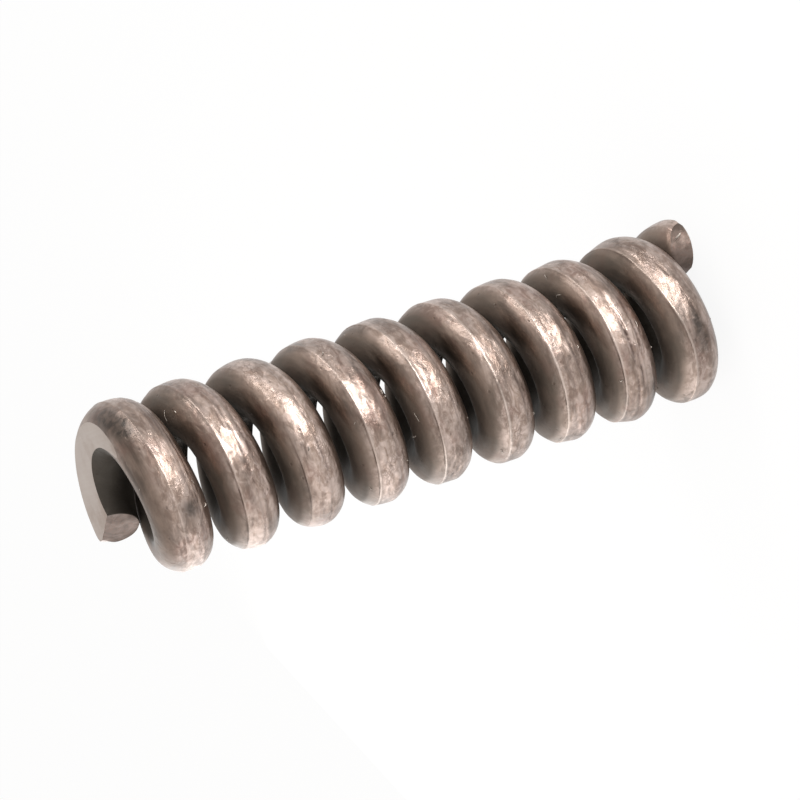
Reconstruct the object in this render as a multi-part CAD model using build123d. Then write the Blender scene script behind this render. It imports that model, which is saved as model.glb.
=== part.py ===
"""Heavy-wire compression spring, one piece: closed or nearly closed ends, both ground flat.

The spring stands on its foot end. Z = 0 is the foot seat, and both seats are square to Z.
The coil leans a little off Z, over the ground half-turn of its foot, so that the short flat carries it.
"""
import os
from math import cos, pi, radians, sin

from build123d import *

os.makedirs("parts", exist_ok=True)

# Wire and coil, in millimetres.
WIRE_D = 3.00          # spring wire
BORE_D = 3.47          # clear bore through the body turns
TURNS = 9.43           # wire from tip to tip, in turns, right-hand
COIL_GAP = 0.71        # axial gap between neighbouring body turns
FOOT_ANGLE = -36.5     # where the foot tip ends, in degrees round the axis
LEAN = 2.2             # how far the coil's axis leans out of square, in degrees
LEAN_TOWARDS = 62.0    # the side it leans to, in degrees round the axis

# Flat land that the coiling tool leaves along the outside of the wire.
LAND_DEPTH = 0.075     # how far the land lies below the round of the wire
LAND_TILT = 10.0       # the land faces this many degrees above square-outward

# End turns.
FOOT_GAP = 0.41        # axial gap left above the foot tip
TOP_GAP = 0.11         # axial gap left below the top tip, which is nearly shut
TIP_LAY = 0.13         # turns at each tip that lie fully closed
CLOSE_OVER = 0.44      # turns over which an end turn closes
FOOT_TIP = 1.21        # wire thickness that grinding leaves at the foot tip
TOP_TIP = 1.79         # wire thickness that grinding leaves at the top tip
LAST_STEP = 0.10       # how much further than the pitch the last foot turn is stepped off
STEP_FROM = 1.1        # turns up from the foot tip where that step starts
STEP_OVER = 0.5        # turns over which the wire takes the step
FOOT_FLARE = 0.20      # how much wider in radius the last foot turn is coiled
TOP_FLARE = 0.05       # the same at the top
FLARE_OVER = 2.1       # turns over which a flare dies out
FOOT_SET = 0.125       # how far the last foot turn sits off the coil's axis, towards X
SET_FROM = 0.9         # turns up from the foot tip where the coil starts to come back to its axis
SET_OVER = 0.7         # turns over which it comes back

# Cut-off faces.
NOSE_R = 1.73          # the foot tip is cropped to an oval in plan, this far to each side
NOSE_REACH = 2.05      # and this far forward, at the seat
NOSE_SET_BACK = 12.0   # the crop leans back by this many degrees as it rises
POINTS_PER_TURN = 12   # points that carry the centreline curve

WIRE_R = WIRE_D / 2
MEAN_R = (BORE_D + WIRE_D) / 2
PITCH = WIRE_D + COIL_GAP
FOOT_CLOSE = COIL_GAP - FOOT_GAP
TOP_CLOSE = COIL_GAP - TOP_GAP
NOSE_BACK = NOSE_R / (2 * pi * MEAN_R)   # turns from the foot tip back to the nose's centre
RUN_OUT = 1.6 * (NOSE_REACH - NOSE_R) / (2 * pi * MEAN_R)   # turns of wire that the crop takes off


def ease(u):
    """Smooth step from 0 to 1."""
    u = min(max(u, 0.0), 1.0)
    return u * u * (3 - 2 * u)


def height(turn):
    """Height of the wire's centre above the foot seat."""
    foot = FOOT_CLOSE * ease((turn - TIP_LAY) / CLOSE_OVER)
    top = TOP_CLOSE * ease((turn - (TURNS - TIP_LAY - CLOSE_OVER)) / CLOSE_OVER)
    step = LAST_STEP * ease((turn - STEP_FROM) / STEP_OVER)
    return FOOT_TIP - WIRE_R + PITCH * turn + step - foot - top


def radius(turn):
    """Radius of the wire's centre round the axis."""
    foot = FOOT_FLARE * (1 - ease(turn / FLARE_OVER))
    top = TOP_FLARE * (1 - ease((TURNS - turn) / FLARE_OVER))
    return MEAN_R + foot + top


def centre(turn):
    """Point on the wire's centreline, turn by turn from the foot tip."""
    angle = radians(FOOT_ANGLE + 360 * turn)
    aside = FOOT_SET * (1 - ease((turn - SET_FROM) / SET_OVER))
    return Vector(radius(turn) * cos(angle) + aside, radius(turn) * sin(angle), height(turn))


def centreline():
    """One smooth curve along the wire, from the foot run-out to the top tip."""
    length = TURNS + RUN_OUT
    count = round(length * POINTS_PER_TURN)
    return Spline(*[centre(length * i / count - RUN_OUT) for i in range(count + 1)])


def wire_section(path):
    """Round section with the outer land, square to the wire at its foot end."""
    start = path @ 0
    outward = Vector(start.X, start.Y, 0)
    plane = Plane(origin=start, x_dir=outward, z_dir=path % 0)
    # The wire climbs right-handed, so the plane's y axis points down the spring.
    land = Rot(0, 0, -LAND_TILT) * Pos(WIRE_R - LAND_DEPTH, 0) * Rectangle(
        WIRE_D, 2 * WIRE_D, align=(Align.MIN, Align.CENTER))
    return plane * (Circle(WIRE_R) - land)


def coiled_wire():
    """The wire before grinding."""
    path = centreline()
    return sweep(wire_section(path), path=path, is_frenet=True)


def foot_crop():
    """What the cropping tool takes off past the foot tip, clear of the turn above."""
    nose = centre(NOSE_BACK)
    outward = Vector(nose.X, nose.Y, 0)
    forward = centre(0) - centre(2 * NOSE_BACK)
    reach = 1.1 * (radius(0) + WIRE_R) * sin(2 * pi * (NOSE_BACK + RUN_OUT))
    along = Plane(origin=nose, x_dir=forward, z_dir=forward.cross(outward))
    slab = along * Box(
        reach, 1.6 * WIRE_D, WIRE_D + FOOT_GAP / 2, align=(Align.MIN, Align.CENTER, Align.CENTER))
    upright = Plane(origin=(nose.X, nose.Y, 0), x_dir=(forward.X, forward.Y, 0), z_dir=(0, 0, 1))
    oval = upright * Rot(0, -NOSE_SET_BACK, 0) * Ellipse(NOSE_REACH * cos(radians(NOSE_SET_BACK)), NOSE_R)
    return slab - extrude(oval, amount=2 * WIRE_D, both=True)


def lean(length):
    """Tilts the coil about the middle of its axis, so that it stays centred over the origin."""
    middle = Pos(0, 0, length / 2)
    return middle * Rot(0, 0, LEAN_TOWARDS) * Rot(0, LEAN, 0) * Rot(0, 0, -LEAN_TOWARDS) * middle.inverse()


def grinding(level, direction):
    """Everything on the outer side of a seat plane."""
    side = 4 * (MEAN_R + WIRE_D)
    return Pos(0, 0, level + direction * side / 2) * Box(side, side, side)


def spring():
    """The finished spring."""
    free_length = height(TURNS) + TOP_TIP - WIRE_R
    body = lean(free_length) * (coiled_wire() - foot_crop())
    body = body - grinding(0, -1)
    body = body - grinding(free_length, 1)
    return body.solid()


part = spring()
part.label = "spring"
export_step(part, "parts/spring.step")
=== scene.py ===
from math import cos, pi, radians, sin, tan
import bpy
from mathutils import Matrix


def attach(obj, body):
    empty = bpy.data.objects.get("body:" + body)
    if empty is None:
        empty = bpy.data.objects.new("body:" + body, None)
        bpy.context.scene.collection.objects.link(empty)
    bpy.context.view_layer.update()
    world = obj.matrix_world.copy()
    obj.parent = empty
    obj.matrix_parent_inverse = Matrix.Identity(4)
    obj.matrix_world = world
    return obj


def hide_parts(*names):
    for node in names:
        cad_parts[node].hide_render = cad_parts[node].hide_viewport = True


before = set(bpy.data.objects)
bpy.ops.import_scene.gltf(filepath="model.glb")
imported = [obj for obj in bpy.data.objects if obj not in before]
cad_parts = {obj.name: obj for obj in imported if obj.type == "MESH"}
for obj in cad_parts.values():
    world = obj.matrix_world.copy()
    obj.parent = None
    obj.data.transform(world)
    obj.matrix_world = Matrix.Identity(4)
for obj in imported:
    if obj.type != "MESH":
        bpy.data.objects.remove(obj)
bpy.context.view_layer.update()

from types import SimpleNamespace

import bmesh
import bpy
import numpy as np
from mathutils import Matrix, Vector

MM = 0.001

# Wire and coil, in millimetres, degrees and turns, as in the part's source.
WIRE_D = 3.00
BORE_D = 3.47
TURNS = 9.43
COIL_GAP = 0.71
FOOT_ANGLE = -36.5
LEAN = 2.2
LEAN_TOWARDS = 62.0
LAND_DEPTH = 0.075
LAND_TILT = 10.0
FOOT_GAP = 0.41
TOP_GAP = 0.11
TIP_LAY = 0.13
CLOSE_OVER = 0.44
FOOT_TIP = 1.21
TOP_TIP = 1.79
FOOT_FLARE = 0.20
TOP_FLARE = 0.05
FLARE_OVER = 2.1
FOOT_SET = 0.125
SET_FROM = 0.9
SET_OVER = 0.7
LAST_STEP = 0.10
STEP_FROM = 1.1
STEP_OVER = 0.5
NOSE_R = 1.73
NOSE_REACH = 2.05
NOSE_SET_BACK = 12.0

WIRE_R = WIRE_D / 2
MEAN_R = (BORE_D + WIRE_D) / 2
TURN_MM = 2 * pi * MEAN_R   # wire in one turn
PITCH = WIRE_D + COIL_GAP
FOOT_CLOSE = COIL_GAP - FOOT_GAP
TOP_CLOSE = COIL_GAP - TOP_GAP
NOSE_BACK = NOSE_R / TURN_MM
LAND_HALF = np.degrees(np.arccos(1 - LAND_DEPTH / WIRE_R))   # half of the land's angle

# Mesh fineness, in turns along the wire and degrees round it.
RINGS_PER_TURN = 108
END_RINGS = 10         # rings that lie closer together at each wire end
END_STEP = 0.003       # turns between them
OUTER_STEP = 2.6       # degrees between the lengthwise lines on the outside of the wire
INNER_STEP = 7.0       # the same on the inside
OUTER_ABOVE = 50       # how far the outside reaches above the land's upper edge
OUTER_BELOW = 84       # how far it reaches below the land's middle
EDGE_LINES = (-3.6, -2.2, -1.1, 0, 1.1, 2.2, 3.6)   # lines by the land's upper edge
UPPER_CLEAR = 4.6      # the other lines stay this far from the land's upper edge
LOWER_CLEAR = 1.4      # and this far from its lower edge
CAP_RINGS = 7          # rings that close a wire end
CROP_EVENS_OUT = 0.3   # turns over which the rings go from the slant of the foot crop to square
CROP_SEARCH = (-0.2, 0.12)   # turns between which the lines meet the foot crop
HALVINGS = 40          # steps of that search
NUDGE = 1e-4           # turns to each side where the wire's direction is taken

# Degrees added to the land's tilt, at a few turns up from the foot.
LAND_WANDER = {
    0: 2, 0.65: -14, 0.78: -12, 0.83: -6, 0.88: 4, 0.95: 12, 1.10: 10, 1.85: 2, 2.85: -3,
    3.85: -12, 4.85: -6, 5.85: -4, 6.85: 3, 7.85: -4, 8.5: -8, 8.86: -16, 9.2: -10, 9.4: 0}

# How clearly the land shows, at a few turns up from the foot.
LAND_STRENGTH = {0: 0.5, 0.6: 0.8, 5.2: 1.0, 5.9: 0.7, 6.8: 0.35, 7.8: 0.55, 9.4: 0.45}
LAND_EDGE = 0.016      # how softly the land runs into the round of the wire, in millimetres

# Small forms of the skin, in millimetres.
FLASH_HEIGHT = 0.028   # raised line along the land's upper edge
FLASH_WIDTH = 0.08
SWELL = 0.006          # long unevenness
RIPPLE = 0.0035        # short unevenness
FOOT_EDGE = 0.09       # how far the skin draws in at the foot tip
FOOT_EDGE_OVER = 0.24  # length of wire over which it does
TOP_EDGE = 0.04        # the same at the top tip
TOP_EDGE_OVER = 0.07
TIP_CORNER = 0.40      # radius of the worn corner of the top tip
CORNER_UP = 0.30       # where that corner lies, in radians above square-outward
CORNER_SPREAD = 0.45   # and how far it reaches round the wire
FOOT_FACETS = 0.012    # unevenness of the foot crop
TOP_HOLLOW = 0.030     # unevenness of the top cut, long
TOP_TEAR = 0.012       # and short

# Rubbed and dirty places of the skin, and the shade and highlight painted on it, as shares of the
# full look. Widths are in millimetres, and places and lengths along the wire in turns.
RUBBED_EVENLY = 0.80   # on the outside of the turns
RUBBED_PATCHILY = 0.22
RIM_RUBBED = 0.5       # by the rims of the seats
RIM_WIDTH = 0.10
CREASE_SIDE = 0.76     # part of each turn where the painted highlight on the crease line is brightest
CREASE_LEAST = 0.25    # how bright it still is on the far side
CREASE_WIDTH = 0.065
FLANK_BELOW = 0.45     # painted shade on the lower flank of the wire, in the gap between the turns
FLANK_ABOVE = 0.75     # and on the upper one
STRIP_SHADE = {5.2: 0.70, 6.0: 0.64}   # painted shade above the land, at two turns up from the foot
LIT_SIDE = 0.94      # part of each turn where that strip is left unshaded, where the light falls on it
LIT_OVER = 0.09
FREE_LESS_SHADE = 0.75    # how much less painted shade a flank without a neighbour gets
FREE_OVER = 0.12       # wire over which it changes
FULL_SCORE = 0.060     # depth of a score that is full of residue, in millimetres

# Lengthwise scores from the coiling tool: middle turn, half-length in turns, degrees from the
# land's middle, depth and half-width in millimetres.
SCORES = [
    (0.86, 0.10, 14, 0.030, 0.07),
    (1.80, 0.16, 12, 0.050, 0.09),
    (1.76, 0.11, 21, 0.040, 0.07),
    (1.84, 0.20, 30, 0.035, 0.07),
    (2.82, 0.22, 26, 0.030, 0.06),
    (2.78, 0.15, 7, 0.018, 0.06),
    (3.82, 0.20, 24, 0.025, 0.06),
    (4.86, 0.22, 27, 0.025, 0.06),
    (5.84, 0.25, 29, 0.020, 0.06),
    (6.84, 0.25, 23, 0.030, 0.06),
    (7.86, 0.30, 16, 0.030, 0.06),
    (7.88, 0.24, 30, 0.025, 0.07),
    (7.90, 0.20, 3, 0.020, 0.06),
    (8.84, 0.30, 24, 0.030, 0.06),
    (8.88, 0.22, 33, 0.030, 0.06),
    (8.95, 0.18, 12, 0.020, 0.06),
]
FINE_SCORES = 46       # seeded ones all over the outside

# Dark stains: middle turn, degrees round the wire, half-length in turns, half-width in degrees.
STAINS = [
    (0.79, 10, 0.030, 22),
    (0.83, 6, 0.020, 12),
    (8.79, 10, 0.018, 18),
    (9.03, -46, 0.055, 30),
    (8.97, -34, 0.038, 22),
    (1.70, 38, 0.05, 12),
]

# Slivers and lint that cling to the wire: turn, degrees round the wire, heading in degrees off
# its run, length, radius and lift off the skin in millimetres.
SLIVERS = [
    (8.028, -80, 62, 0.60, 0.017, 0.12),
    (8.000, -60, 20, 0.14, 0.034, 0.02),
    (8.776, 50, 70, 0.24, 0.034, 0.06),
    (8.860, -76, 80, 0.14, 0.030, 0.02),
    (2.056, -50, 40, 0.34, 0.024, 0.06),
    (2.000, -74, -50, 0.40, 0.022, 0.10),
    (2.844, 36, 30, 0.16, 0.030, 0.03),
    (1.764, -42, 85, 0.20, 0.026, 0.03),
    (1.852, 30, 10, 0.30, 0.026, 0.04),
    (4.772, -90, 75, 0.40, 0.024, 0.10),
    (4.824, -62, -15, 0.44, 0.022, 0.08),
    (5.876, 44, 15, 0.20, 0.036, 0.03),
    (5.866, 50, 60, 0.14, 0.030, 0.02),
    (6.828, -10, 35, 0.18, 0.034, 0.03),
    (5.996, -16, 50, 0.22, 0.036, 0.03),
    (0.012, -40, 98, 0.46, 0.055, 0.04),
]
SMALL_SLIVERS = 26     # seeded ones along the rest of the wire
SLIVER_RINGS = 9
SLIVER_SIDES = 6
SLIVER_BOW = 0.12      # how far a sliver bows sideways, as a share of its length

# Base colours.
OXIDE = (0.105, 0.076, 0.060)     # dark temper skin
STEEL = (0.338, 0.248, 0.198)     # the wire's common brown-grey
SCALE = (0.160, 0.104, 0.082)     # what is left of the skin on rubbed steel
RUBBED = (0.575, 0.463, 0.413)    # burnished outside of the turns
RUST = (0.235, 0.128, 0.100)
RESIDUE = (0.065, 0.036, 0.029)   # burnt oil in the scores
SHADE_COLOUR = (0.130, 0.107, 0.088)     # painted shade on the flanks between the turns and in the bore
BORE_SHADE = (0.100, 0.087, 0.074)      # painted shade inside the turns
STAIN = (0.050, 0.040, 0.034)
SHORN = (0.115, 0.089, 0.076)     # cut faces, and where they are torn
TORN = (0.190, 0.147, 0.127)
CREASE_HIGHLIGHT = (0.680, 0.590, 0.530)      # painted highlight on the crease line along the land
SEAT = (0.510, 0.446, 0.405)      # ground seats
LINT_DARK = (0.20, 0.165, 0.14)
LINT_PALE = (0.52, 0.46, 0.41)
FLOOR = (0.92, 0.91, 0.90)
WHITE = (1, 1, 1)
STUDIO = (1.0, 0.985, 0.97)

METAL = 1.0
LINT_METAL = 0.35      # lint among the slivers is no metal
OIL_FILM = 0.3         # thin coat of oil on the open skin
OIL_ROUGHNESS = 0.28
FLOOR_ROUGHNESS = 0.7

DRAWN, GROUND, SHEARED = 0, 1, 2  # material slots of the spring
CREASE_ANGLE = 38      # degrees between faces from which an edge is sharp

# The photograph's view, for a spring that lies on its side there.
VIEW_TILT = 22.0       # degrees that the camera looks down on the top seat
VIEW_ROLL = 18.02      # degrees that the spring's axis is turned in the picture
LENS_MM = 148.68
SENSOR_MM = 36.0
VIEW_DISTANCE = 172.3  # from the point aimed at, in millimetres
AIM_HEIGHT = 17.18
AIM_OFFSET_PX = 10.6   # the point aimed at lies this far right of the picture's middle
PICTURE_PX = 800
VIEW_NEAR, VIEW_FAR = 0.005, 20.0  # what the camera sees, in metres

# The studio.
FLOOR_SIZE = 3.0       # metres
FLOOR_DROP = 0.02      # how far the floor lies below the foot seat, in millimetres
FLOOR_GLOW = 0.9       # share of the floor's look that is plain white
OVERHEAD = 0.80        # strength of the surroundings straight above
HORIZON, ZENITH = 0.02, 0.85   # heights between which they dim, as parts of a unit direction

# Softboxes: place and size in millimetres, radiance and colour.
SOFTBOXES = {
    "key": ((35, -93, 6), (60, 46), 14.0, WHITE),
    "high": ((150, -37, 92), (60, 50), 8.0, WHITE),
    "low": ((-46, 34, 22), (110, 44), 1.25, WHITE),
    "fill": ((-240, -150, 120), (300, 200), 0.5, (1.0, 0.96, 0.94)),
}


def ease(u):
    """Smooth step from 0 to 1."""
    u = np.clip(u, 0.0, 1.0)
    return u * u * (3 - 2 * u)


def gauss(x, width):
    """Bell of height 1, in which width is where it has fallen to 1/e."""
    return np.exp(-(x / width) ** 2)


def unit(v):
    return v / np.linalg.norm(v, axis=-1, keepdims=True)


def along_wire(turn, table):
    """Reads a table that gives values at a few turns up from the foot."""
    return np.interp(turn, list(table), list(table.values()))


def waves(seed, turn, phi, count, turn_scale, phi_waves):
    """Smooth seeded unevenness that joins up round the wire.

    It adds up count waves, of up to turn_scale to a turn and up to phi_waves round the wire.
    """
    rng = np.random.default_rng(seed)
    total = np.zeros_like(turn)
    for _ in range(count):
        k = rng.integers(0, phi_waves + 1)
        total += np.sin(
            2 * pi * rng.uniform(0.3, 1) * turn_scale * turn + k * phi + rng.uniform(0, 2 * pi))
    return total / count ** 0.5


def height(turn):
    """Height of the wire's centre above the foot seat, as in the part's source."""
    foot = FOOT_CLOSE * ease((turn - TIP_LAY) / CLOSE_OVER)
    top = TOP_CLOSE * ease((turn - (TURNS - TIP_LAY - CLOSE_OVER)) / CLOSE_OVER)
    step = LAST_STEP * ease((turn - STEP_FROM) / STEP_OVER)
    return FOOT_TIP - WIRE_R + PITCH * turn + step - foot - top


def radius(turn):
    """Radius of the wire's centre round the axis, as in the part's source."""
    foot = FOOT_FLARE * (1 - ease(turn / FLARE_OVER))
    top = TOP_FLARE * (1 - ease((TURNS - turn) / FLARE_OVER))
    return MEAN_R + foot + top


def centre(turn):
    """Points on the wire's centreline, in the coil's own upright frame."""
    turn = np.asarray(turn, float)
    angle = np.radians(FOOT_ANGLE + 360 * turn)
    aside = FOOT_SET * (1 - ease((turn - SET_FROM) / SET_OVER))
    x, y = radius(turn) * np.cos(angle) + aside, radius(turn) * np.sin(angle)
    return np.stack([x, y, height(turn)], -1)


FREE_LENGTH = float(height(TURNS)) + TOP_TIP - WIRE_R


def leaning():
    """The coil's lean off the seats' axis, as in the part's source."""
    middle = Matrix.Translation((0, 0, FREE_LENGTH / 2))
    towards = Matrix.Rotation(radians(LEAN_TOWARDS), 4, "Z")
    lean = Matrix.Rotation(radians(LEAN), 4, "Y")
    return middle @ towards @ lean @ towards.inverted() @ middle.inverted()


def heading(turn):
    """Direction in which the wire runs."""
    return unit(centre(turn + NUDGE) - centre(turn - NUDGE))


def surface_point(turn, phi, rho):
    """Point at the angle phi and distance rho round the wire. phi is 0 outward, 90 degrees down."""
    along = heading(turn)
    angle = np.radians(FOOT_ANGLE + 360 * turn)
    radial = np.stack([np.cos(angle), np.sin(angle), np.zeros_like(angle)], -1)
    outward = unit(radial - along * np.sum(radial * along, -1, keepdims=True))
    down = np.cross(along, outward)
    aside = np.cos(phi)[..., None] * outward + np.sin(phi)[..., None] * down
    return centre(turn) + rho[..., None] * aside


def land_tilt(turn):
    """Degrees by which the land's middle faces above square-outward."""
    return LAND_TILT + along_wire(turn, LAND_WANDER)


def placed_scores(turn, from_land):
    """Depth of the scores that were placed from the photograph."""
    depth = np.zeros_like(turn)
    for i, (middle, half, degrees, deep, wide) in enumerate(SCORES):
        wander = 0.05 * np.sin(9 * turn + i) + 0.03 * np.sin(31 * turn + 2 * i)
        across = (from_land - radians(degrees) - wander) * WIRE_R
        broken = 1 + 0.4 * np.sin(47 * turn + 3 * i)
        depth += deep * gauss(across, wide) * gauss(turn - middle, half) * broken
    return depth


def score_depth(turn, from_land):
    """Depth of all scores at each point, from_land in radians from the land's middle."""
    depth = placed_scores(turn, from_land)
    rng = np.random.default_rng(11)
    for i in range(FINE_SCORES):
        middle, half = rng.uniform(0.2, TURNS - 0.2), rng.uniform(0.06, 0.3)
        at = radians(rng.uniform(-60, 80))
        deep, wide = rng.uniform(0.003, 0.011), rng.uniform(0.04, 0.08)
        wander = 0.04 * np.sin(7 * turn + i)
        across = (from_land - at - wander) * WIRE_R
        depth += deep * gauss(across, wide) * gauss(turn - middle, half)
    return depth


def section(turn, from_land):
    """Distance of the wire's skin from its centre, with land, flash line, scores and dents."""
    chord = (WIRE_R - LAND_DEPTH) / np.maximum(np.cos(from_land), 0.1)
    cut = LAND_EDGE * np.log1p(np.exp((WIRE_R - chord) / LAND_EDGE))
    rho = WIRE_R - along_wire(turn, LAND_STRENGTH) * cut
    edge = (from_land + radians(LAND_HALF)) * WIRE_R
    comes_and_goes = 0.5 + 0.5 * np.tanh(3 * np.sin(1.9 * turn + 4.6) + 1.2)
    rho += FLASH_HEIGHT * comes_and_goes * gauss(edge, FLASH_WIDTH)
    rho -= score_depth(turn, from_land)
    rho += SWELL * waves(3, turn, from_land, count=9, turn_scale=6, phi_waves=3)
    return rho + RIPPLE * waves(5, turn, from_land, count=14, turn_scale=22, phi_waves=9)


def line_angles():
    """Angles of the lengthwise lines from the land's middle, closest at the land's upper edge."""
    near_edge = [-LAND_HALF + d for d in EDGE_LINES]
    first = -LAND_HALF - OUTER_ABOVE
    outer = [
        a for a in np.arange(first, OUTER_BELOW, OUTER_STEP)
        if abs(a + LAND_HALF) > UPPER_CLEAR and abs(a - LAND_HALF) > LOWER_CLEAR]
    inner = np.arange(OUTER_BELOW, 360 + first, INNER_STEP)
    return np.radians(np.array(sorted(near_edge + [LAND_HALF] + outer + list(inner))))


def nose_frame():
    """Nose centre under the wire and the forward and sideways directions of the foot crop."""
    nose = centre(NOSE_BACK)
    forward = centre(0.0) - centre(2 * NOSE_BACK)
    forward = unit(np.array([forward[0], forward[1], 0.0]))
    sideways = np.array([-forward[1], forward[0], 0.0])
    return np.array([nose[0], nose[1], 0.0]), forward, sideways


def nose_front(sideways, up):
    """How far forward the crop reaches: an oval that leans back as it rises."""
    oval = NOSE_REACH * np.sqrt(np.maximum(1 - (sideways / NOSE_R) ** 2, 0))
    return oval - up * tan(radians(NOSE_SET_BACK))


def foot_ends(from_land):
    """Turn at which each lengthwise line meets the foot crop, found by halving."""
    origin, forward, sideways = nose_frame()
    low, high = (np.full_like(from_land, end) for end in CROP_SEARCH)
    for _ in range(HALVINGS):
        turn = (low + high) / 2
        phi = from_land - np.radians(land_tilt(turn))
        p = surface_point(turn, phi, np.full_like(turn, WIRE_R)) - origin
        beyond = p @ forward > nose_front(p @ sideways, p[:, 2])
        low, high = np.where(beyond, turn, low), np.where(beyond, high, turn)
    return high


def ring_turns():
    """Turns of the rings, closer together at both wire ends."""
    dense = END_RINGS * END_STEP
    body = round((TURNS - 2 * dense) * RINGS_PER_TURN)
    end = np.arange(0, END_RINGS) * END_STEP
    return np.concatenate([end, np.linspace(dense, TURNS - dense, body), TURNS - end[::-1]])


def end_rounding(base, phi):
    """How much the skin draws in by the wire ends, most at the worn outer corner of the top tip."""
    foot, top = base * TURN_MM, (TURNS - base) * TURN_MM
    edge = FOOT_EDGE * np.maximum(1 - foot / FOOT_EDGE_OVER, 0) ** 2
    edge += TOP_EDGE * np.maximum(1 - top / TOP_EDGE_OVER, 0) ** 2
    corner = np.maximum(1 - top / TIP_CORNER, 0)
    worn = TIP_CORNER * (1 - np.sqrt(1 - corner ** 2))
    return edge + worn * gauss(phi + CORNER_UP, CORNER_SPREAD)


class Skin:
    """Gathers the vertices, faces and wire coordinates of a mesh."""

    def __init__(self):
        self.points, self.wire, self.faces, self.slots = [], [], [], []
        self.count = 0

    def add(self, points, wire=None):
        """Adds points with their wire coordinates, and returns their numbers."""
        ids = np.arange(self.count, self.count + len(points))
        self.points.append(points)
        self.wire.append(np.zeros_like(points) if wire is None else wire)
        self.count += len(points)
        return ids

    def bridge(self, a, b, slot):
        """Quads between two closed loops of vertices."""
        self.faces += np.stack([a, b, np.roll(b, -1), np.roll(a, -1)], -1).tolist()
        self.slots += [slot] * len(a)

    def fan(self, loop, tip, slot):
        """Triangles between a closed loop and a tip."""
        self.faces += [[int(a), int(tip), int(b)] for a, b in zip(loop, np.roll(loop, -1))]
        self.slots += [slot] * len(loop)

    def close(self, loop, rim, place, wire, slot):
        """Fills an end with rings that shrink to its middle, each laid on the face by place."""
        middle = rim.mean(0)
        for i in range(1, CAP_RINGS):
            share = 1 - i / CAP_RINGS
            ring = self.add(place(middle + (rim - middle) * share), wire * share)
            self.bridge(loop, ring, slot)
            loop = ring
        tip = self.add(place(middle[None, :]), wire[:1] * 0)
        self.fan(loop, tip[0], slot)


def close_foot(skin, loop, rim):
    """The rounded nose of the foot tip, with the faint facets of the crop."""
    origin, forward, sideways = nose_frame()
    up = np.array([0, 0, 1.0])
    flat = np.stack([(rim - origin) @ sideways, rim[:, 2]], -1)

    def place(at):
        facets = FOOT_FACETS * np.sin(9 * at[:, 1] + 2 * np.sin(4 * at[:, 0]))
        front = nose_front(at[:, 0], at[:, 1]) + facets
        return origin + front[:, None] * forward + at[:, :1] * sideways + at[:, 1:] * up

    wire = np.concatenate([flat, np.zeros((len(flat), 1))], -1)
    skin.close(loop, flat, place, wire, SHEARED)


def close_top(skin, loop, rim):
    """The square cut of the top tip, slightly hollow and torn."""
    middle = centre(TURNS)
    along = heading(TURNS)
    outward = unit(np.array([middle[0], middle[1], 0.0]))
    down = np.cross(along, outward)
    flat = np.stack([(rim - middle) @ outward, (rim - middle) @ down], -1)

    def place(at):
        hollow = TOP_HOLLOW * np.sin(2.1 * at[:, 0] + 1.0) * np.cos(2.6 * at[:, 1])
        tear = hollow + TOP_TEAR * np.sin(7 * at[:, 0] - 5 * at[:, 1])
        return middle + at[:, :1] * outward + at[:, 1:] * down + tear[:, None] * along

    wire = np.concatenate([flat, np.full((len(flat), 1), TURN_MM * TURNS)], -1)
    skin.close(loop, flat, place, wire, SHEARED)


def build_skin():
    """The coiled wire before grinding, with both ends closed."""
    lines = line_angles()
    base = ring_turns()[:, None] * np.ones(len(lines))
    turn = base + foot_ends(lines) * (1 - ease(base / CROP_EVENS_OUT))
    from_land = np.ones_like(base) * lines
    phi = from_land - np.radians(land_tilt(turn))
    rho = section(turn, from_land) - end_rounding(base, phi)
    points = surface_point(turn, phi, rho)
    wire = np.stack([WIRE_R * np.cos(phi), WIRE_R * np.sin(phi), TURN_MM * turn], -1)
    skin = Skin()
    rings = [skin.add(p, w) for p, w in zip(points, wire)]
    for a, b in zip(rings, rings[1:]):
        skin.bridge(b, a, DRAWN)
    close_foot(skin, rings[0], points[0])
    close_top(skin, rings[-1][::-1], points[-1][::-1])
    return skin


def grind(bm, level, side):
    """Cuts one seat flat and closes it with a face that looks outward."""
    cut = bmesh.ops.bisect_plane(
        bm, geom=bm.verts[:] + bm.edges[:] + bm.faces[:], dist=1e-6,
        plane_co=(0, 0, level), plane_no=(0, 0, side), clear_outer=True)
    rim = [e for e in cut["geom_cut"] if isinstance(e, bmesh.types.BMEdge) and e.is_boundary]
    for face in bmesh.ops.contextual_create(bm, geom=rim)["faces"]:
        face.material_index = GROUND
        face.normal_update()
        if face.normal.z * side < 0:
            face.normal_flip()


def ground(mesh):
    """Leans the coil, grinds both seats flat and brings the mesh to metres."""
    bm = bmesh.new()
    bm.from_mesh(mesh)
    bmesh.ops.transform(bm, matrix=leaning(), verts=bm.verts)
    grind(bm, 0.0, -1)
    grind(bm, FREE_LENGTH, 1)
    bmesh.ops.transform(bm, matrix=Matrix.Scale(MM, 4), verts=bm.verts)
    bm.to_mesh(mesh)
    bm.free()


def burnish(turn, phi, points):
    """How rubbed bright the skin is: the outside of the turns and the rims of the seats."""
    # cos(phi) is 1 on the outside of the turns, 0 on the flanks and -1 in the bore.
    outside = ease((np.cos(phi - 0.12) - 0.55) / 0.42)
    uneven = waves(21, turn, phi, count=8, turn_scale=5, phi_waves=2)
    patches = RUBBED_EVENLY + RUBBED_PATCHILY * uneven
    rim = gauss(points[:, 2] - FREE_LENGTH, RIM_WIDTH) + gauss(points[:, 2], RIM_WIDTH)
    return np.clip(outside * patches + RIM_RUBBED * rim, 0, 1)


def above_land(turn, phi):
    """Angle by which points lie above the land's upper edge, in radians."""
    return -phi - np.radians(land_tilt(turn) + LAND_HALF)


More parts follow.
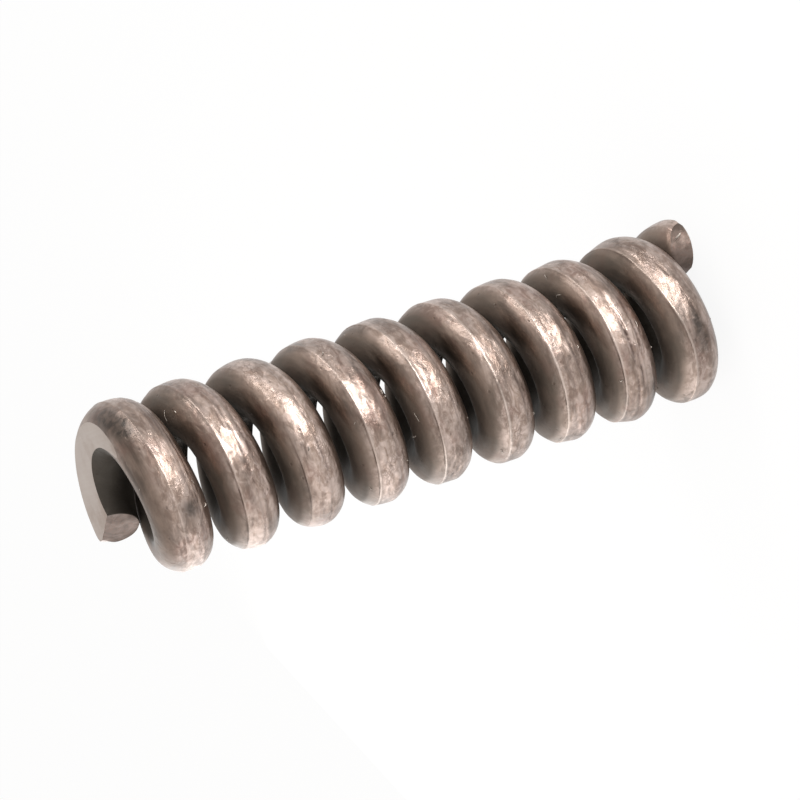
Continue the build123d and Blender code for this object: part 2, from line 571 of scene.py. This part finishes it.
def crease(turn, phi):
    """How strong the painted highlight on the raised line along the land's upper edge is, most on
    one side of the coil.
    """
    side = (0.5 + 0.5 * np.cos(2 * pi * (turn - CREASE_SIDE))) ** 2
    strength = along_wire(turn, LAND_STRENGTH) ** 2 * (CREASE_LEAST + (1 - CREASE_LEAST) * side)
    return strength * gauss(above_land(turn, phi) * WIRE_R, CREASE_WIDTH)


def strip_shade(turn, phi):
    """Painted shade on the strip above the land, left off one stretch in each turn where the light
    falls.
    """
    above = ease(above_land(turn, phi) / 0.10)
    lit_stretch = sum(gauss(away % 1.0, LIT_OVER) for away in (turn - LIT_SIDE, LIT_SIDE - turn))
    return along_wire(turn, STRIP_SHADE) * above * (1 - np.minimum(lit_stretch, 1))


def free_sides(turn, phi):
    """Where no neighbour shades the flank, so less shade is painted: above the top turn, below the
    foot turn, at the tip.
    """
    top = ease((turn - (TURNS - 1.0)) / FREE_OVER) * (phi < 0)
    foot = ease((0.75 - turn) / FREE_OVER) * (phi > 0)
    tip = 0.3 * ease((0.35 - turn) / 0.1)
    return np.maximum(np.maximum(top, foot), tip)


def grime(turn, phi):
    """How much shade is painted on the skin: the flanks of the gaps and all of the bore."""
    flank = np.where(phi > 0, FLANK_BELOW, FLANK_ABOVE) * ease((0.84 - np.cos(phi)) / 0.60)
    flank = (flank + strip_shade(turn, phi)) * (1 - FREE_LESS_SHADE * free_sides(turn, phi))
    inside = ease((-0.1 - np.cos(phi)) / 0.5)
    return np.clip(flank + inside, 0, 1)


def scored(turn, phi):
    """How much dark residue lies in the scores."""
    return np.clip(score_depth(turn, phi + np.radians(land_tilt(turn))) / FULL_SCORE, 0, 1)


def stain(turn, phi):
    """How dark the stains are."""
    spots = [
        gauss(turn - at, half) * gauss(np.degrees(phi) - degrees, wide)
        for at, degrees, half, wide in STAINS]
    return np.clip(sum(spots), 0, 1)


def skin_masks(wire, points):
    """The masks from 0 to 1 that the drawn steel reads, at points that already lean."""
    turn, phi = wire[:, 2] / TURN_MM, np.arctan2(wire[:, 1], wire[:, 0])
    return {
        "burnish": burnish(turn, phi, points), "crease": crease(turn, phi),
        "grime": grime(turn, phi), "scored": scored(turn, phi), "stain": stain(turn, phi)}


def spring_mesh():
    """The spring's mesh in metres, with the wire coordinates and masks on its vertices."""
    skin = build_skin()
    points, wire = np.concatenate(skin.points), np.concatenate(skin.wire)
    mesh = bpy.data.meshes.new("spring_wire")
    mesh.from_pydata(points.tolist(), [], skin.faces)
    mesh.polygons.foreach_set("material_index", skin.slots)
    coordinates = mesh.attributes.new("wire_mm", "FLOAT_VECTOR", "POINT")
    coordinates.data.foreach_set("vector", wire.ravel())
    lean = leaning()
    leaned = points @ np.array(lean.to_3x3()).T + np.array(lean.translation)
    for name, mask in skin_masks(wire, leaned).items():
        mesh.attributes.new(name, "FLOAT", "POINT").data.foreach_set("value", mask)
    ground(mesh)
    mesh.shade_smooth()
    mesh.set_sharp_from_angle(angle=radians(CREASE_ANGLE))
    return mesh


def all_slivers():
    """The slivers that were placed, and small seeded ones along the rest of the wire."""
    rng = np.random.default_rng(29)
    small = []
    for _ in range(SMALL_SLIVERS):
        side = rng.choice([-1, 1])
        small.append((
            rng.uniform(0.4, TURNS - 0.4), side * rng.uniform(35, 80), rng.uniform(-90, 90),
            rng.uniform(0.08, 0.26), rng.uniform(0.014, 0.026), rng.uniform(0.01, 0.06)))
    return SLIVERS + small


def add_sliver(skin, turn, degrees, heading_degrees, length, thick, lift):
    """A bowed, tapered thread whose ends lie in the wire's skin."""
    s = np.linspace(-1, 1, SLIVER_RINGS)
    angles = np.linspace(0, 2 * pi, SLIVER_SIDES, endpoint=False)
    cosine, sine = cos(radians(heading_degrees)), sin(radians(heading_degrees))
    run, side = length / 2 * s, SLIVER_BOW * length * (1 - s ** 2)
    ahead, across = run * cosine - side * sine, run * sine + side * cosine
    path = surface_point(
        turn + ahead / TURN_MM, radians(degrees) + across / WIRE_R, WIRE_R + lift * (1 - s ** 2))
    outward = unit(path[SLIVER_RINGS // 2] - centre(turn))
    binormal = unit(np.cross(unit(path[-1] - path[0]), outward))
    spread = np.cos(angles)[:, None] * outward + np.sin(angles)[:, None] * binormal
    widths = thick * np.sqrt(1.06 - s ** 2)
    loops = [skin.add(at + width * spread) for at, width in zip(path, widths)]
    for a, b in zip(loops, loops[1:]):
        skin.bridge(a, b, 0)
    skin.fan(loops[0], skin.add(path[:1])[0], 0)
    skin.fan(loops[-1][::-1], skin.add(path[-1:])[0], 0)


def sliver_mesh():
    """All slivers in one mesh, in metres."""
    skin = Skin()
    for sliver in all_slivers():
        add_sliver(skin, *sliver)
    mesh = bpy.data.meshes.new("slivers")
    mesh.from_pydata(np.concatenate(skin.points).tolist(), [], skin.faces)
    bm = bmesh.new()
    bm.from_mesh(mesh)
    bmesh.ops.transform(bm, matrix=Matrix.Scale(MM, 4) @ leaning(), verts=bm.verts)
    bmesh.ops.recalc_face_normals(bm, faces=bm.faces)
    bm.to_mesh(mesh)
    bm.free()
    mesh.shade_smooth()
    return mesh


class Tree:
    """Short ways to write shader nodes."""

    def __init__(self, tree):
        self.tree = tree

    def put(self, target, value):
        """Links a socket, or sets a number or colour."""
        if isinstance(value, bpy.types.NodeSocket):
            self.tree.links.new(value, target)
        elif target.type == "RGBA":
            target.default_value = (*value, 1)
        else:
            target.default_value = value

    def node(self, kind, **inputs):
        node = self.tree.nodes.new(kind)
        for name, value in inputs.items():
            self.put(node.inputs[name], value)
        return node

    def attribute(self, name, output="Fac"):
        node = self.node("ShaderNodeAttribute")
        node.attribute_name = name
        return node.outputs[output]

    def object_place(self):
        return self.node("ShaderNodeTexCoord").outputs["Object"]

    def stretched(self, vector, scale):
        node = self.node("ShaderNodeVectorMath")
        node.operation = "MULTIPLY"
        self.put(node.inputs[0], vector)
        node.inputs[1].default_value = scale
        return node.outputs[0]

    def noise(self, vector, scale, detail=3.0, roughness=0.55, distortion=0.0):
        node = self.node(
            "ShaderNodeTexNoise", Vector=vector, Scale=scale, Detail=detail,
            Roughness=roughness, Distortion=distortion)
        return node.outputs["Fac"]

    def shifted(self, vector, scale, reach):
        """The vector pushed about by a colour noise, by up to about half the reach."""
        noise = self.node("ShaderNodeTexNoise", Vector=vector, Scale=scale, Detail=2.0)
        node = self.node("ShaderNodeVectorMath")
        node.operation = "MULTIPLY_ADD"
        self.put(node.inputs[0], noise.outputs["Color"])
        node.inputs[1].default_value = (reach, reach, reach)
        self.put(node.inputs[2], vector)
        return node.outputs[0]

    def cells(self, vector, scale, feature="DISTANCE_TO_EDGE"):
        node = self.node("ShaderNodeTexVoronoi")
        node.feature = feature
        self.put(node.inputs["Vector"], vector)
        node.inputs["Scale"].default_value = scale
        return node.outputs["Distance"]

    def ramp(self, value, low, high, to_low=0.0, to_high=1.0):
        """Smooth step of value from low to high."""
        node = self.node("ShaderNodeMapRange")
        node.interpolation_type = "SMOOTHSTEP"
        for i, v in enumerate((value, low, high, to_low, to_high)):
            self.put(node.inputs[i], v)
        return node.outputs[0]

    def math(self, operation, a, b):
        node = self.node("ShaderNodeMath")
        node.operation = operation
        self.put(node.inputs[0], a)
        self.put(node.inputs[1], b)
        return node.outputs[0]

    def times(self, a, b):
        return self.math("MULTIPLY", a, b)

    def mix(self, factor, a, b):
        """Colour a where the factor is 0 and b where it is 1."""
        node = self.node("ShaderNodeMix")
        node.data_type = "RGBA"
        self.put(node.inputs["Factor"], factor)
        self.put(node.inputs[6], a)
        self.put(node.inputs[7], b)
        return node.outputs[2]

    def layers(self, tone, layers):
        """Lays colours over a tone, each as far as its factor says."""
        for factor, colour in layers:
            tone = self.mix(factor, tone, colour)
        return tone

    def bumps(self, heights):
        """One normal from several heights, each with its depth in millimetres."""
        normal = None
        for height_socket, depth_mm in heights:
            node = self.node("ShaderNodeBump", Height=height_socket, Distance=depth_mm * MM)
            if normal:
                self.put(node.inputs["Normal"], normal)
            normal = node.outputs["Normal"]
        return normal


class Nodes(Tree):
    """A new material and its shader."""

    def __init__(self, name):
        self.material = bpy.data.materials.new(name)
        self.material.use_nodes = True
        super().__init__(self.material.node_tree)
        self.shader = self.tree.nodes["Principled BSDF"]

    def finish(self, colour, metallic, roughness, normal):
        """Gives the shader its look, and returns the material."""
        self.put(self.shader.inputs["Base Color"], colour)
        self.put(self.shader.inputs["Metallic"], metallic)
        self.put(self.shader.inputs["Roughness"], roughness)
        self.put(self.shader.inputs["Normal"], normal)
        return self.material


def drawn_patterns(n):
    """Masks and patterns of the drawn wire. Their sizes are in millimetres of the wire."""
    p = SimpleNamespace(wire=n.attribute("wire_mm", "Vector"))
    for mask in ("burnish", "crease", "grime", "scored", "stain"):
        setattr(p, mask, n.attribute(mask))
    p.clouds = n.noise(n.stretched(p.wire, (1, 1, 0.45)), 0.9, 5, 0.6, 0.3)
    p.streaks = n.noise(n.stretched(p.wire, (1, 1, 0.05)), 5.5, 4, 0.6)
    p.across = n.noise(n.stretched(p.wire, (0.5, 0.5, 1)), 4.2, 2, 0.5, 0.6)
    p.mottle = n.noise(n.stretched(p.wire, (1, 1, 0.7)), 2.3, 4, 0.62, 0.8)
    p.dents = n.noise(p.wire, 1.7, 1, 0.5, 0.5)
    p.pits = n.ramp(n.cells(p.wire, 1.4, "F1"), 0.05, 0.13)
    bent = n.shifted(n.stretched(p.wire, (1, 1, 0.8)), 2.5, 0.22)
    p.dimples = n.cells(bent, 2.7, "F1")
    coarse, fine = n.ramp(n.cells(bent, 2.7), 0.0, 0.13), n.ramp(n.cells(bent, 4.8), 0.0, 0.14)
    p.crackle = n.times(coarse, fine)
    p.patches = n.times(p.burnish, n.ramp(n.noise(p.wire, 0.8, 3), 0.46, 0.58))
    worn = n.times(p.burnish, n.ramp(p.clouds, 0.36, 0.62, 0.45, 1.0))
    p.worn = n.times(worn, n.ramp(p.across, 0.30, 0.60, 0.55, 1.0))
    # Skin outside the painted shade.
    p.open_skin = n.ramp(p.grime, 0.1, 0.6, 1.0, 0.25)
    return p


def drawn_colour(n, p):
    """Brown temper skin, rubbed bright outside, with painted shade inside and on the flanks, rust,
    residue, stains and a painted highlight along the crease line.
    """
    rust = n.ramp(n.noise(p.wire, 0.55, 4, 0.6), 0.48, 0.66, 0.0, 0.50)
    inward = n.node("ShaderNodeSeparateXYZ", Vector=p.wire).outputs["X"]
    return n.layers(OXIDE, [
        (n.ramp(p.clouds, 0.30, 0.66), STEEL),
        (n.ramp(p.streaks, 0.42, 0.62, 0.0, 0.25), STEEL),
        (rust, RUST),
        # Painted shade on the flanks between the turns and in the bore.
        (n.times(p.grime, n.ramp(p.clouds, 0.25, 0.6, 1.0, 0.75)), SHADE_COLOUR),
        (n.times(p.worn, n.ramp(p.mottle, 0.38, 0.60, 0.25, 1.0)), RUBBED),
        (n.times(p.open_skin, n.ramp(p.mottle, 0.30, 0.52, 0.36, 0.0)), SCALE),
        # Painted shade inside the turns.
        (n.ramp(inward, -0.7, 0.0, 1.0, 0.0), BORE_SHADE),
        (n.times(n.ramp(p.crackle, 0.0, 1.0, 0.42, 0.0), p.patches), SCALE),
        (n.ramp(p.pits, 0.0, 1.0, 0.45, 0.0), OXIDE),
        (n.times(p.scored, n.ramp(p.across, 0.35, 0.55, 0.2, 0.9)), RESIDUE),
        (n.times(p.stain, n.ramp(p.across, 0.38, 0.60, 0.62, 0.92)), STAIN),
        # Painted highlight along the crease line.
        (n.times(p.crease, n.ramp(p.streaks, 0.35, 0.55, 0.2, 0.62)), CREASE_HIGHLIGHT),
    ])


def drawn_roughness(n, p):
    """Smoother where it is rubbed, rougher under the painted shade."""
    rough = n.math(
        "ADD", n.ramp(p.worn, 0.0, 1.0, 0.42, 0.34), n.ramp(p.clouds, 0.3, 0.7, -0.04, 0.08))
    return n.math("ADD", rough, n.ramp(p.grime, 0.7, 1.0, 0.0, 0.25))


def drawn_steel():
    """Oil-tempered wire: drawing streaks, peened crackle on the rubbed outside, pits and stains."""
    n = Nodes("drawn_spring_steel")
    p = drawn_patterns(n)
    n.put(n.shader.inputs["Coat Weight"], n.times(p.open_skin, OIL_FILM))
    n.shader.inputs["Coat Roughness"].default_value = OIL_ROUGHNESS
    normal = n.bumps([
        (p.streaks, 0.002),
        (p.across, 0.013),
        (n.times(p.dents, p.open_skin), 0.075),
        (n.times(p.dimples, p.burnish), 0.044),
        (n.times(p.crackle, p.patches), 0.010),
        (p.pits, 0.012),
    ])
    return n.finish(drawn_colour(n, p), METAL, drawn_roughness(n, p), normal)


def ground_steel():
    """Ground seat: pale, with fine parallel grinding lines and a little discolouring."""
    n = Nodes("ground_spring_steel")
    place = n.object_place()
    lines = n.noise(n.stretched(place, (9000, 350, 9000)), 1.0, 4, 0.65)
    clouds = n.noise(place, 420, 5, 0.6)
    tone = n.layers(STEEL, [
        (n.ramp(clouds, 0.30, 0.55, 0.45, 1.0), SEAT),
        (n.ramp(lines, 0.40, 0.62, 0.08, 0.0), STEEL)])
    rough = n.ramp(clouds, 0.3, 0.7, 0.52, 0.40)
    return n.finish(tone, METAL, rough, n.bumps([(lines, 0.003), (clouds, 0.02)]))


def sheared_steel():
    """Cut-off face: dull, mottled and torn."""
    n = Nodes("sheared_spring_steel")
    place = n.object_place()
    clouds = n.noise(place, 900, 5, 0.65, 0.4)
    grain = n.noise(place, 9000, 3, 0.7)
    tone = n.layers(SHORN, [
        (n.ramp(clouds, 0.35, 0.65), TORN),
        (n.ramp(grain, 0.45, 0.7, 0.0, 0.25), RUST)])
    rough = n.ramp(clouds, 0.3, 0.7, 0.6, 0.48)
    return n.finish(tone, METAL, rough, n.bumps([(clouds, 0.05), (grain, 0.008)]))


def lint():
    """Pale torn steel and lint."""
    n = Nodes("pale_slivers")
    clouds = n.noise(n.object_place(), 2500, 3, 0.6)
    tone = n.mix(n.ramp(clouds, 0.35, 0.65), LINT_DARK, LINT_PALE)
    rough = n.ramp(clouds, 0.3, 0.7, 0.35, 0.6)
    return n.finish(tone, LINT_METAL, rough, n.bumps([(clouds, 0.01)]))


def add_object(name, data):
    """Puts a mesh, lamp or camera into the scene."""
    made = bpy.data.objects.new(name, data)
    bpy.context.collection.objects.link(made)
    return made


def build_spring():
    mesh = spring_mesh()
    for material in (drawn_steel(), ground_steel(), sheared_steel()):
        mesh.materials.append(material)
    piece = add_object("spring_wire", mesh)
    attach(piece, "root")
    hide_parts("spring")


def build_slivers():
    mesh = sliver_mesh()
    mesh.materials.append(lint())
    piece = add_object("slivers", mesh)
    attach(piece, "root")


def floor_white():
    """Mostly plain white to the camera and in reflections, with the spring's shadow left on it."""
    n = Nodes("floor_white")
    n.put(n.shader.inputs["Base Color"], FLOOR)
    n.shader.inputs["Roughness"].default_value = FLOOR_ROUGHNESS
    path = n.node("ShaderNodeLightPath").outputs
    seen = n.math("MAXIMUM", path["Is Camera Ray"], path["Is Glossy Ray"])
    seen = n.math("MAXIMUM", seen, path["Is Transmission Ray"])
    glow = n.node("ShaderNodeEmission", Color=WHITE, Strength=1.0)
    mixed = n.node("ShaderNodeMixShader")
    n.put(mixed.inputs[0], n.times(seen, FLOOR_GLOW))
    n.put(mixed.inputs[1], n.shader.outputs[0])
    n.put(mixed.inputs[2], glow.outputs[0])
    n.put(n.tree.nodes["Material Output"].inputs["Surface"], mixed.outputs[0])
    return n.material


def build_floor():
    bpy.ops.mesh.primitive_plane_add(size=FLOOR_SIZE, location=(0, 0, -FLOOR_DROP * MM))
    floor = bpy.context.object
    floor.name = "floor"
    floor.data.materials.append(floor_white())


def build_world():
    """Studio surroundings: white to the camera and at the horizon, dimmer overhead."""
    world = bpy.data.worlds.new("studio")
    world.use_nodes = True
    n = Tree(world.node_tree)
    direction = n.node("ShaderNodeTexCoord").outputs["Generated"]
    up = n.node("ShaderNodeSeparateXYZ", Vector=direction).outputs["Z"]
    path = n.node("ShaderNodeLightPath").outputs
    through = n.math("MAXIMUM", path["Is Camera Ray"], path["Is Transmission Ray"])
    strength = n.math("MAXIMUM", through, n.ramp(up, HORIZON, ZENITH, 1.0, OVERHEAD))
    background = n.tree.nodes["Background"]
    n.put(background.inputs["Color"], STUDIO)
    n.put(background.inputs["Strength"], strength)
    bpy.context.scene.world = world


def softbox(name, place_mm, size_mm, radiance, colour):
    """A rectangular lamp that looks at the middle of the spring."""
    lamp = bpy.data.lights.new(name, "AREA")
    lamp.shape = "RECTANGLE"
    lamp.size, lamp.size_y = size_mm[0] * MM, size_mm[1] * MM
    lamp.energy = radiance * pi * lamp.size * lamp.size_y
    lamp.color = colour
    placed = add_object(name, lamp)
    middle = Vector((0, 0, FREE_LENGTH / 2)) * MM
    placed.location = Vector(place_mm) * MM
    placed.rotation_euler = (placed.location - middle).to_track_quat("Z", "Y").to_euler()
    placed.visible_camera = False


def view_pose():
    """The camera's pose, rolled so that the standing spring lies in the picture."""
    tilt, roll = radians(VIEW_TILT), radians(VIEW_ROLL)
    right = Vector((-sin(roll), -sin(tilt) * cos(roll), -cos(tilt) * cos(roll)))
    up = Vector((cos(roll), -sin(tilt) * sin(roll), -cos(tilt) * sin(roll)))
    back = Vector((0, -cos(tilt), sin(tilt)))
    pose = Matrix((right, up, back)).transposed().to_4x4()
    pose.translation = Vector((0, 0, AIM_HEIGHT)) + back * VIEW_DISTANCE
    pose = leaning() @ pose
    pose.translation = pose.translation * MM
    return pose


def build_camera():
    data = bpy.data.cameras.new("camera")
    data.lens, data.sensor_width = LENS_MM, SENSOR_MM
    data.shift_x = -AIM_OFFSET_PX / PICTURE_PX
    data.clip_start, data.clip_end = VIEW_NEAR, VIEW_FAR
    camera = add_object("camera", data)
    camera.matrix_world = view_pose()
    bpy.context.scene.camera = camera


build_spring()
build_slivers()
build_floor()
build_world()
for lamp_name, settings in SOFTBOXES.items():
    softbox(lamp_name, *settings)
build_camera()
bpy.context.scene.view_settings.view_transform = "Standard"
